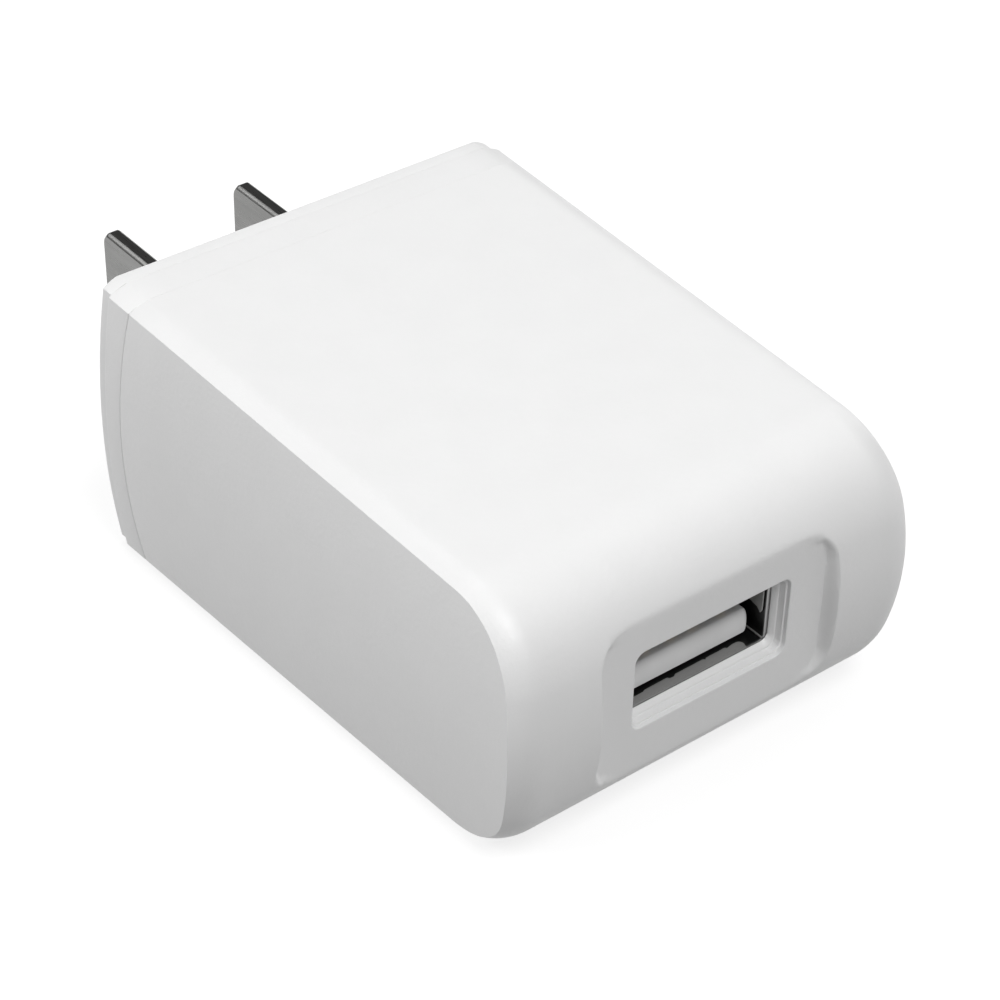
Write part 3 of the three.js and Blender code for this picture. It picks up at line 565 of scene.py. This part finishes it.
def port_cutter():
    """The bevelled way into the port: a rounded lip, three faces with small steps, and a tunnel."""
    lip_to_end = ((LIP_WIDTH - BEVEL_END_WIDTH) / 2, (LIP_HEIGHT - BEVEL_END_HEIGHT) / 2)
    rounded = -LIP_ROUND / lip_to_end[0]
    profile = [(rounded, -1.0)]
    for angle in quarter_turn(4):
        depth = LIP_ROUND * (1 - math.cos(angle)) - LIP_LEAD
        profile.append((rounded * (1 - math.sin(angle)), depth))
    profile += BEVEL_PROFILE
    rings = []
    for inwards, depth in profile:
        share = min(max(depth / BEVEL_DEPTH, 0), 1)
        width = LIP_WIDTH - 2 * inwards * lip_to_end[0]
        height = LIP_HEIGHT - 2 * inwards * lip_to_end[1]
        middle = LIP_Z + (PORT_Z - LIP_Z) * share
        outline = rounded_rectangle(width, height, LIP_CORNER - LIP_CORNER_SHRINK * inwards, middle)
        rings.append(at_y(outline, FACET_Y + depth))
    tunnel = rounded_rectangle(
        PORT_WIDTH + 2 * TUNNEL_GAP, PORT_HEIGHT + 2 * TUNNEL_GAP, TUNNEL_CORNER, PORT_Z
    )
    rings.append(at_y(tunnel, BEVEL_END_Y + TUNNEL_LEAD))
    rings.append(at_y(tunnel, FACET_Y + TUNNEL_DEPTH))
    return rings_piece("port_cutter", rings)


def section(y, inset, strip_width=STRIP_WIDTH, strip_drop=STRIP_DROP, back=None, top_inset=None):
    """One ring round the body at y: flat top, corner strips flatter than an arc, and crowned sides."""
    w = half_width(y) - inset
    h = half_height(y) - (inset if top_inset is None else top_inset)
    turn = 2 * math.atan(strip_drop / strip_width)
    steps = 10
    quarter = [(w * share, h) for share in np.linspace(0, 1, 8)[:-1] * (w - strip_width) / w]
    for step in range(steps + 1):
        angle = turn * step / steps
        arc_across = math.sin(angle) / math.sin(turn)
        arc_down = (1 - math.cos(angle)) / (1 - math.cos(turn))
        across = arc_across + (step / steps - arc_across) * STRIP_FLATNESS
        down = arc_down + (step / steps - arc_down) * STRIP_FLATNESS
        quarter.append((w - strip_width * (1 - across), h - strip_drop * down))
    side = h - strip_drop
    for z in np.linspace(side, 0, 13)[1:]:
        quarter.append((w + SIDE_CROWN * (1 - (z / side) ** 2), z))
    quarter = np.array(quarter)
    right = np.concatenate([quarter, (quarter * (1, -1))[-2::-1]])
    left = (right * (-1, 1))[-2:0:-1]
    ring = np.concatenate([right, left])
    depth = np.full(len(ring), y) if back is None else back(ring[:, 1])
    return np.column_stack([ring[:, 0], depth, ring[:, 1]])


def rounding(radius):
    """(inset, rise) along a quarter arc, from the start of a rounded edge to its end."""
    return [(radius * (1 - math.cos(angle)), radius * math.sin(angle)) for angle in quarter_turn(4)]


def behind_seam(distance):
    """The place, for each height, that lies a distance behind the gap at the seam."""
    return lambda z: seam_y(z) + SEAM_GAP + distance


def back_cover():
    """The short shell: the spigot, the rounded edge at the seam, the rim and the wall pad."""
    spigot = WALL + SPIGOT_GAP
    inner = spigot + SPIGOT_WALL
    rings = [
        section(-PAD_THICKNESS, inner),
        section(SPIGOT_FRONT_Y, inner),
        section(SPIGOT_FRONT_Y, spigot),
        section(SEAM_Y, spigot, back=behind_seam(0)),
    ]
    for inset, rise in reversed(rounding(SEAM_ROUND_SIDE)):
        top_inset = inset * SEAM_ROUND_TOP / SEAM_ROUND_SIDE
        edge = behind_seam(SEAM_ROUND_SIDE - rise)
        rings.append(section(SEAM_Y, inset, back=edge, top_inset=top_inset))
    for inset, rise in rounding(RIM_ROUND):
        top_inset = inset * PAD_TOP_INSET / RIM_ROUND
        rings.append(section(RIM_BACK_Y - RIM_ROUND + rise, inset, top_inset=top_inset))
    pad_edge = [(inset, rise - PAD_ROUND) for inset, rise in rounding(PAD_ROUND)]
    for inset, y in [(0, RIM_BACK_Y)] + pad_edge:
        side, top = PAD_SIDE_INSET + inset, PAD_TOP_INSET + inset
        rings.append(section(y, side, PAD_CORNER_WIDTH, PAD_CORNER_DROP, top_inset=top))
    cover = rings_piece("back_shell", rings)
    return carve(cover, *[blade_slot(node) for node in ("blade_left", "blade_right")])


def blade_slot(node):
    """The slot that a blade passes through, a little wider than the blade."""
    low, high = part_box(node)
    middle = (low.x + high.x) / 2 / MM
    x = BLADE_THICKNESS / 2 + BLADE_SLOT_GAP
    z = BLADE_HEIGHT / 2 + BLADE_SLOT_GAP
    return box_piece("slot_cutter", (middle - x, -PAD_THICKNESS - 1, -z), (middle + x, 1, z))


# ------------------------------------------------------------------ blades


def blade_outline(tip, tail):
    """Upper half of a blade seen from the side, from the bowed tip to the tail."""
    half = BLADE_HEIGHT / 2
    points = []
    for angle in quarter_turn(12):
        y = tip - BLADE_TIP_BOW * (1 - math.cos(angle))
        points.append((y, half - BLADE_TIP_ROUND * (1 - math.sin(angle))))
    front = -PAD_THICKNESS - SHOULDER_GAP
    back = front - SHOULDER_DEPTH
    points += [(front, half), (front, SHOULDER_HEIGHT / 2), (back, SHOULDER_HEIGHT / 2)]
    points += [(back, TAIL_HEIGHT / 2), (tail, TAIL_HEIGHT / 2)]
    return points


def edge_profile():
    """(inset, depth) over a blade's worn edge, from its wide face to its narrow one."""
    angles = [math.radians(degrees) for degrees in BLADE_EDGE_ANGLES]
    step = BLADE_EDGE / sum(math.cos(angle) for angle in angles)
    profile = [(BLADE_EDGE, 0.0)]
    for angle in angles:
        inset, depth = profile[-1]
        profile.append((inset - step * math.cos(angle), depth + step * math.sin(angle)))
    return profile


def blade(node):
    """A flat blade with worn edges and a hole."""
    low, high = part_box(node)
    middle = (low.x + high.x) / 2 / MM
    upper = blade_outline(high.y / MM, low.y / MM)
    outline = np.array([(y, -z) for y, z in upper[::-1]] + upper)
    near = [(inset, depth - BLADE_THICKNESS / 2) for inset, depth in edge_profile()]
    rings = []
    for inset, across in near + [(inset, -across) for inset, across in near[::-1]]:
        places = outline * (1, 1 - inset / (BLADE_HEIGHT / 2))
        rings.append(at_x(places, middle + across))
    piece = rings_piece(node + "_plated", rings, BLADE_SMOOTH_ANGLE)
    outline = circle(BLADE_HOLE_RADIUS, 32, BLADE_HOLE_Y)
    hole = [at_x(outline, middle + across) for across in (-BLADE_THICKNESS, BLADE_THICKNESS)]
    return carve(piece, rings_piece("hole_cutter", hole), smooth_angle=BLADE_SMOOTH_ANGLE)


# ------------------------------------------------------------------ USB receptacle


def usb_shell():
    """The receptacle's metal shell: a round-cornered tube with eased edges at its mouth."""
    low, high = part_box("usb_shell")
    front, back = low.y / MM, high.y / MM
    inner = (PORT_WIDTH, PORT_HEIGHT)
    outer = (PORT_WIDTH + 2 * SHEET_METAL, PORT_HEIGHT + 2 * SHEET_METAL)
    rings = []
    for (width, height), growth, corner, y in (
        (outer, 0, SHELL_CORNER, back),
        (outer, 0, SHELL_CORNER, front + SHELL_EDGE),
        (outer, -SHELL_EDGE_INSET, SHELL_CORNER - SHELL_EDGE_INSET, front),
        (inner, SHELL_EDGE, MOUTH_CORNER, front),
        (inner, 0, PORT_CORNER, front + SHELL_EDGE),
        (inner, 0, PORT_CORNER, back),
    ):
        outline = rounded_rectangle(width + 2 * growth, height + 2 * growth, corner, PORT_Z)
        rings.append(at_y(outline, y))
    faces = band_faces(len(rings[0]), len(rings), closed=True)
    return make_mesh("port_shell", np.concatenate(rings), faces)


def usb_tongue():
    """The tongue with its rounded nose, and the block that carries it."""
    low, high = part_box("usb_insulator")
    block_front = low.y / MM + TONGUE_REACH
    rings = []
    for angle in quarter_turn(12):
        back_off = 1 - math.sin(angle)
        top = TONGUE_HIGH_Z - TONGUE_NOSE_DROP * back_off
        bottom = TONGUE_LOW_Z + TONGUE_NOSE_RISE * back_off
        width = TONGUE_WIDTH - TONGUE_NOSE_NARROWING * back_off
        corner = min(TONGUE_CORNER, (top - bottom) / 2.2)
        y = TONGUE_TIP_Y + TONGUE_NOSE_DEPTH * (1 - math.cos(angle))
        outline = rounded_rectangle(width, top - bottom, corner, (top + bottom) / 2)
        rings.append(at_y(outline, y))
    rings.append(at_y(outline, block_front))
    block = rounded_rectangle(
        PORT_WIDTH - 2 * BLOCK_GAP, PORT_HEIGHT - 2 * BLOCK_GAP, BLOCK_CORNER, PORT_Z
    )
    rings.append(at_y(block, block_front))
    rings.append(at_y(block, high.y / MM))
    return rings_piece("port_tongue", rings)


def plate(name, outline, to_point):
    """A thin strip from a flat outline, with eased edges. to_point places an outline point and a height."""
    towards = np.mean(outline, axis=0) - outline
    reach = np.maximum(np.linalg.norm(towards, axis=1, keepdims=True), 1e-6)
    profile = (
        (STRIP_EDGE, 0.0), (0.0, STRIP_EDGE), (0.0, STRIP_METAL - STRIP_EDGE), (STRIP_EDGE, STRIP_METAL),
    )
    rings = []
    for inset, height in profile:
        ring = outline + towards / reach * inset
        rings.append(np.array([to_point(a, b, height) for a, b in ring]))
    return rings_piece(name, rings)


def ground_tab():
    """The strip of sheet at the port's mouth, with the torn edge of its stamped window behind."""
    front = BEVEL_END_Y + TAB_FRONT_GAP
    left = -PORT_WIDTH / 2 + TAB_SIDE_GAP
    outline = [(left, front), (TAB_RIGHT_X - TAB_CORNER_SLANT, front)]
    for angle in quarter_turn(6):
        x = TAB_RIGHT_X - TAB_CORNER * (1 - math.cos(angle))
        outline.append((x, front + TAB_DEPTH - TAB_CORNER * (1 - math.sin(angle))))
    outline += [(x, front + TAB_DEPTH * share) for x, share in TAB_TORN_EDGE]
    outline.append((left, outline[-1][1]))
    floor = PORT_Z - PORT_HEIGHT / 2 + TAB_LIFT

    def to_point(x, y, height):
        return x, y, floor + height

    return plate("port_floor_tab", np.array(outline), to_point)


def wall_spring():
    """The pressed spring on the port's right wall, which leans in towards the plug."""
    front = BEVEL_END_Y + SPRING_SETBACK
    wall = PORT_WIDTH / 2 - SPRING_STANDOFF

    def to_point(back, z, height):
        return wall + height - SPRING_LEAN * back, front + back, z

    return plate("port_wall_spring", np.array(SPRING_OUTLINE), to_point)


def corner_fold():
    """The rounded fold where the port's floor meets its right wall."""
    x = PORT_WIDTH / 2 - FOLD_OFFSET
    z = PORT_Z - PORT_HEIGHT / 2 + FOLD_OFFSET
    outline = circle(FOLD_RADIUS, 8, x, z)
    ends = [at_y(outline, BEVEL_END_Y + back) for back in (FOLD_START, FOLD_END)]
    return rings_piece("port_corner_fold", ends, FOLD_SMOOTH_ANGLE)


# ------------------------------------------------------------------ materials


def principled(name, color, roughness, metallic=0.0):
    """A plain material, with its node tree and its shader."""
    material = bpy.data.materials.new(name)
    material.use_nodes = True
    shader = material.node_tree.nodes["Principled BSDF"]
    shader.inputs["Base Color"].default_value = (*color, 1)
    shader.inputs["Roughness"].default_value = roughness
    shader.inputs["Metallic"].default_value = metallic
    return material, material.node_tree, shader


def noise(tree, scale, detail=3.0, stretch=(1, 1, 1)):
    """Noise over the object's own coordinates. scale is in features per metre."""
    coordinates = tree.nodes.new("ShaderNodeTexCoord")
    mapping = tree.nodes.new("ShaderNodeMapping")
    mapping.inputs["Scale"].default_value = stretch
    texture = tree.nodes.new("ShaderNodeTexNoise")
    texture.inputs["Scale"].default_value = scale
    texture.inputs["Detail"].default_value = detail
    tree.links.new(coordinates.outputs["Object"], mapping.inputs["Vector"])
    tree.links.new(mapping.outputs["Vector"], texture.inputs["Vector"])
    return texture.outputs["Fac"]


def remap(tree, value, low, high, from_low=0.3, from_high=0.7):
    """Stretches a value to run from low to high. What noise gives lies mostly from 0.3 to 0.7."""
    node = tree.nodes.new("ShaderNodeMapRange")
    node.inputs["From Min"].default_value = from_low
    node.inputs["From Max"].default_value = from_high
    node.inputs["To Min"].default_value = low
    node.inputs["To Max"].default_value = high
    tree.links.new(value, node.inputs["Value"])
    return node.outputs["Result"]


def blend_colors(tree, value, one, two):
    """A colour from one to the other as the value goes from 0 to 1."""
    node = tree.nodes.new("ShaderNodeMix")
    node.data_type = "RGBA"
    node.inputs["A"].default_value = (*one, 1)
    node.inputs["B"].default_value = (*two, 1)
    tree.links.new(value, node.inputs["Factor"])
    return node.outputs["Result"]


def bump(tree, shader, value, distance):
    """Relief of a height in metres."""
    node = tree.nodes.new("ShaderNodeBump")
    node.inputs["Strength"].default_value = 1.0
    node.inputs["Distance"].default_value = distance
    tree.links.new(value, node.inputs["Height"])
    tree.links.new(node.outputs["Normal"], shader.inputs["Normal"])


def finish_material(
    name, color, roughness, metallic=0.0, grain=3000, relief=0.00001, stretch=(1, 1, 1), tint=0.92
):
    """A finish with fine grain, patchy roughness and a slight drift of colour.

    grain is in features per metre, relief in metres, and tint is how dark the darker patches are.
    """
    material, tree, shader = principled(name, color, roughness, metallic)
    patches = noise(tree, PATCHES, 2.0, stretch)
    darker = tuple(c * tint for c in color)
    drift = blend_colors(tree, remap(tree, patches, 0, 1), darker, color)
    tree.links.new(drift, shader.inputs["Base Color"])
    fine = noise(tree, grain, 3.0, stretch)
    uneven = remap(tree, fine, roughness * (1 - ROUGHNESS_DRIFT), roughness * (1 + ROUGHNESS_DRIFT))
    tree.links.new(uneven, shader.inputs["Roughness"])
    bump(tree, shader, fine, relief)
    return material


def housing_plastic():
    """White plastic with the fine sparkle of an eroded mould."""
    return finish_material(
        "housing_white", (0.76, 0.76, 0.76), 0.42, grain=2400, relief=0.00002, tint=0.985
    )


def plated_metal():
    """Worn nickel plate, brushed along the blade."""
    return finish_material(
        "blade_nickel", (0.24, 0.24, 0.235), 0.29, metallic=0.88,
        grain=900, relief=0.000006, stretch=(6, 0.4, 6), tint=0.85,
    )


def shell_steel_painted_shade():
    """Sheet steel with painted shade: lighter on the mouth's edge, and painted dark deeper in, where shade
    falls inside the port.
    """
    material, tree, shader = principled("shell_steel_painted_shade", (0.5, 0.5, 0.5), 0.4, 1.0)
    coordinates = tree.nodes.new("ShaderNodeTexCoord")
    parts = tree.nodes.new("ShaderNodeSeparateXYZ")
    tree.links.new(coordinates.outputs["Object"], parts.inputs["Vector"])
    start, end = ((BEVEL_END_Y + distance) * MM for distance in MOUTH_SHADE_FADE)
    # Painted shade: the colour darkens from the mouth inwards, standing in for the shade deep in the port
    inside = remap(tree, parts.outputs["Y"], 0, 1, start, end)
    color = blend_colors(tree, inside, (0.3, 0.3, 0.3), (0.07, 0.07, 0.07))
    tree.links.new(color, shader.inputs["Base Color"])
    fine = noise(tree, 4000, 2.0)
    tree.links.new(remap(tree, fine, 0.36, 0.44), shader.inputs["Roughness"])
    bump(tree, shader, fine, 0.000002)
    return material


@functools.cache
def spring_steel():
    """The duller sheet of the strips in the port's mouth."""
    return finish_material(
        "spring_steel", (0.3, 0.3, 0.295), 0.5, metallic=0.5, grain=2600, relief=0.000003, stretch=(1, 4, 1)
    )


def tongue_plastic():
    return finish_material("tongue_grey", (0.85, 0.85, 0.85), 0.45, grain=2500, relief=0.000006)


def contact_gold():
    return finish_material("contact_gold", (0.8, 0.6, 0.25), 0.3, metallic=1.0, grain=1500, relief=0.000004)


def wire_rubber():
    return finish_material("wire_red", (0.45, 0.05, 0.04), 0.45)


def milky_film():
    return finish_material("film_milky", (0.8, 0.82, 0.7), 0.4)


def green_laminate():
    return finish_material("board_green", (0.03, 0.16, 0.07), 0.35, grain=900)


def grey_ferrite():
    return finish_material("ferrite_grey", (0.05, 0.05, 0.055), 0.6, grain=3500, relief=0.00002)


def bobbin_plastic():
    return finish_material("bobbin_black", (0.02, 0.02, 0.022), 0.45)


def winding_tape():
    return finish_material("tape_yellow", (0.75, 0.5, 0.06), 0.35)


def can_sleeve():
    return finish_material("can_sleeve", (0.02, 0.025, 0.05), 0.35)


def choke_sleeve():
    return finish_material("choke_sleeve", (0.03, 0.03, 0.03), 0.5)


def resistor_lacquer():
    return finish_material("resistor_green", (0.35, 0.48, 0.32), 0.45)


def disc_epoxy():
    return finish_material("disc_blue", (0.03, 0.12, 0.4), 0.35)


def chip_epoxy():
    return finish_material("chip_black", (0.015, 0.015, 0.017), 0.5, grain=3500)


def chip_ceramic():
    return finish_material("chip_tan", (0.4, 0.28, 0.15), 0.45)


MATERIAL_MAKERS = {
    "housing_plastic": housing_plastic,
    "blade_metal": plated_metal,
    "shell_metal": shell_steel_painted_shade,
    "tongue_plastic": tongue_plastic,
    "contact_metal": contact_gold,
    "wire_insulation": wire_rubber,
    "insulating_film": milky_film,
    "board_laminate": green_laminate,
    "ferrite": grey_ferrite,
    "bobbin_plastic": bobbin_plastic,
    "winding_tape": winding_tape,
    "can_sleeve": can_sleeve,
    "choke_sleeve": choke_sleeve,
    "resistor_coat": resistor_lacquer,
    "disc_epoxy": disc_epoxy,
    "chip_epoxy": chip_epoxy,
    "chip_ceramic": chip_ceramic,
}


@functools.cache
def material_of(slot):
    """A slot's material, made once."""
    return MATERIAL_MAKERS[slot]()


def dress(piece, slot):
    """Gives a piece its slot's material."""
    piece.data.materials.clear()
    piece.data.materials.append(material_of(slot))


# ------------------------------------------------------------------ assembly


def place(piece, slot, *nodes):
    """Fixes a piece to the body in a slot's material, in place of the nodes that it stands for."""
    dress(piece, slot)
    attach(piece, "root")
    if nodes:
        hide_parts(*nodes)


def build_object():
    """Dresses every CAD node, and puts the finer pieces in place."""
    for part in frame["record"]["subparts"]:
        dress(NODES[part["node"]], part["material_slot"])
    place(front_housing(), "housing_plastic", "front_housing")
    place(back_cover(), "housing_plastic", "back_cover")
    for node in ("blade_left", "blade_right"):
        place(blade(node), "blade_metal", node)
    place(usb_shell(), "shell_metal", "usb_shell")
    place(usb_tongue(), "tongue_plastic", "usb_insulator")
    for piece in (ground_tab(), wall_spring(), corner_fold()):
        place(piece, "shell_metal")
        piece.data.materials[0] = spring_steel()


# ------------------------------------------------------------------ stage


def direction(azimuth, elevation):
    """The way from the origin towards an azimuth and elevation in degrees."""
    around, up = math.radians(azimuth), math.radians(elevation)
    return Vector((math.sin(around) * math.cos(up), -math.cos(around) * math.cos(up), math.sin(up)))


def add_camera():
    """The camera at the photographer's place, rolled by a small angle."""
    back = direction(CAMERA_AZIMUTH, CAMERA_ELEVATION)
    azimuth, roll = math.radians(CAMERA_AZIMUTH), math.radians(CAMERA_ROLL)
    level = Vector((math.cos(azimuth), math.sin(azimuth), 0))
    upright = back.cross(level)
    right = level * math.cos(roll) + upright * math.sin(roll)
    up = upright * math.cos(roll) - level * math.sin(roll)
    data = bpy.data.cameras.new("camera")
    data.lens = CAMERA_LENS
    data.sensor_width = SENSOR_WIDTH
    data.clip_start = 0.01
    data.clip_end = 10
    camera = bpy.data.objects.new("camera", data)
    matrix = Matrix((right, up, back)).transposed().to_4x4()
    matrix.translation = Vector(CAMERA_PLACE) * MM
    camera.matrix_world = matrix
    bpy.context.scene.collection.objects.link(camera)
    bpy.context.scene.camera = camera


def add_floor():
    """A pale floor that the tapered underside lies flat on. It gives the object gloss but no soft light."""
    tilt = math.atan(HEIGHT_TAPER)
    signs = ((-1, -1), (1, -1), (1, 1), (-1, 1))
    corners = [(x * FLOOR_REACH, y * FLOOR_REACH, 0) for x, y in signs]
    mesh = bpy.data.meshes.new("floor")
    mesh.from_pydata(corners, [], [(0, 1, 2, 3)])
    floor = bpy.data.objects.new("floor", mesh)
    floor.location = (0, 0, -(half_height(0) + FLOOR_GAP) * MM)
    floor.rotation_euler = (-tilt, 0, 0)
    bpy.context.scene.collection.objects.link(floor)
    material, _, shader = principled("floor_white", (FLOOR_ALBEDO,) * 3, FLOOR_ROUGHNESS)
    shader.inputs["Specular IOR Level"].default_value = FLOOR_SPECULAR
    shader.inputs["Emission Color"].default_value = (1, 1, 1, 1)
    shader.inputs["Emission Strength"].default_value = FLOOR_GLOW
    floor.data.materials.append(material)
    floor.visible_diffuse = False


def add_light(name, azimuth, elevation, power, size):
    """A soft round light that faces the origin."""
    data = bpy.data.lights.new(name, "AREA")
    data.shape = "DISK"
    data.size = size
    data.energy = power
    light = bpy.data.objects.new(name, data)
    light.location = direction(azimuth, elevation) * LIGHT_DISTANCE
    light.rotation_euler = (-light.location).to_track_quat("-Z", "Y").to_euler()
    bpy.context.scene.collection.objects.link(light)


def add_lights():
    """A dim room, which gives no gloss, with soft round lights, the strongest over the front."""
    world = bpy.data.worlds.new("studio")
    world.use_nodes = True
    background = world.node_tree.nodes["Background"]
    background.inputs["Color"].default_value = (1, 1, 1, 1)
    background.inputs["Strength"].default_value = ROOM_LIGHT
    bpy.context.scene.world = world
    world.cycles_visibility.glossy = False
    for name, (azimuth, elevation, power, size) in LIGHTS.items():
        add_light(name, azimuth, elevation, power, size)


add_camera()
build_object()
add_floor()
add_lights()
bpy.context.scene.view_settings.view_transform = "Standard"
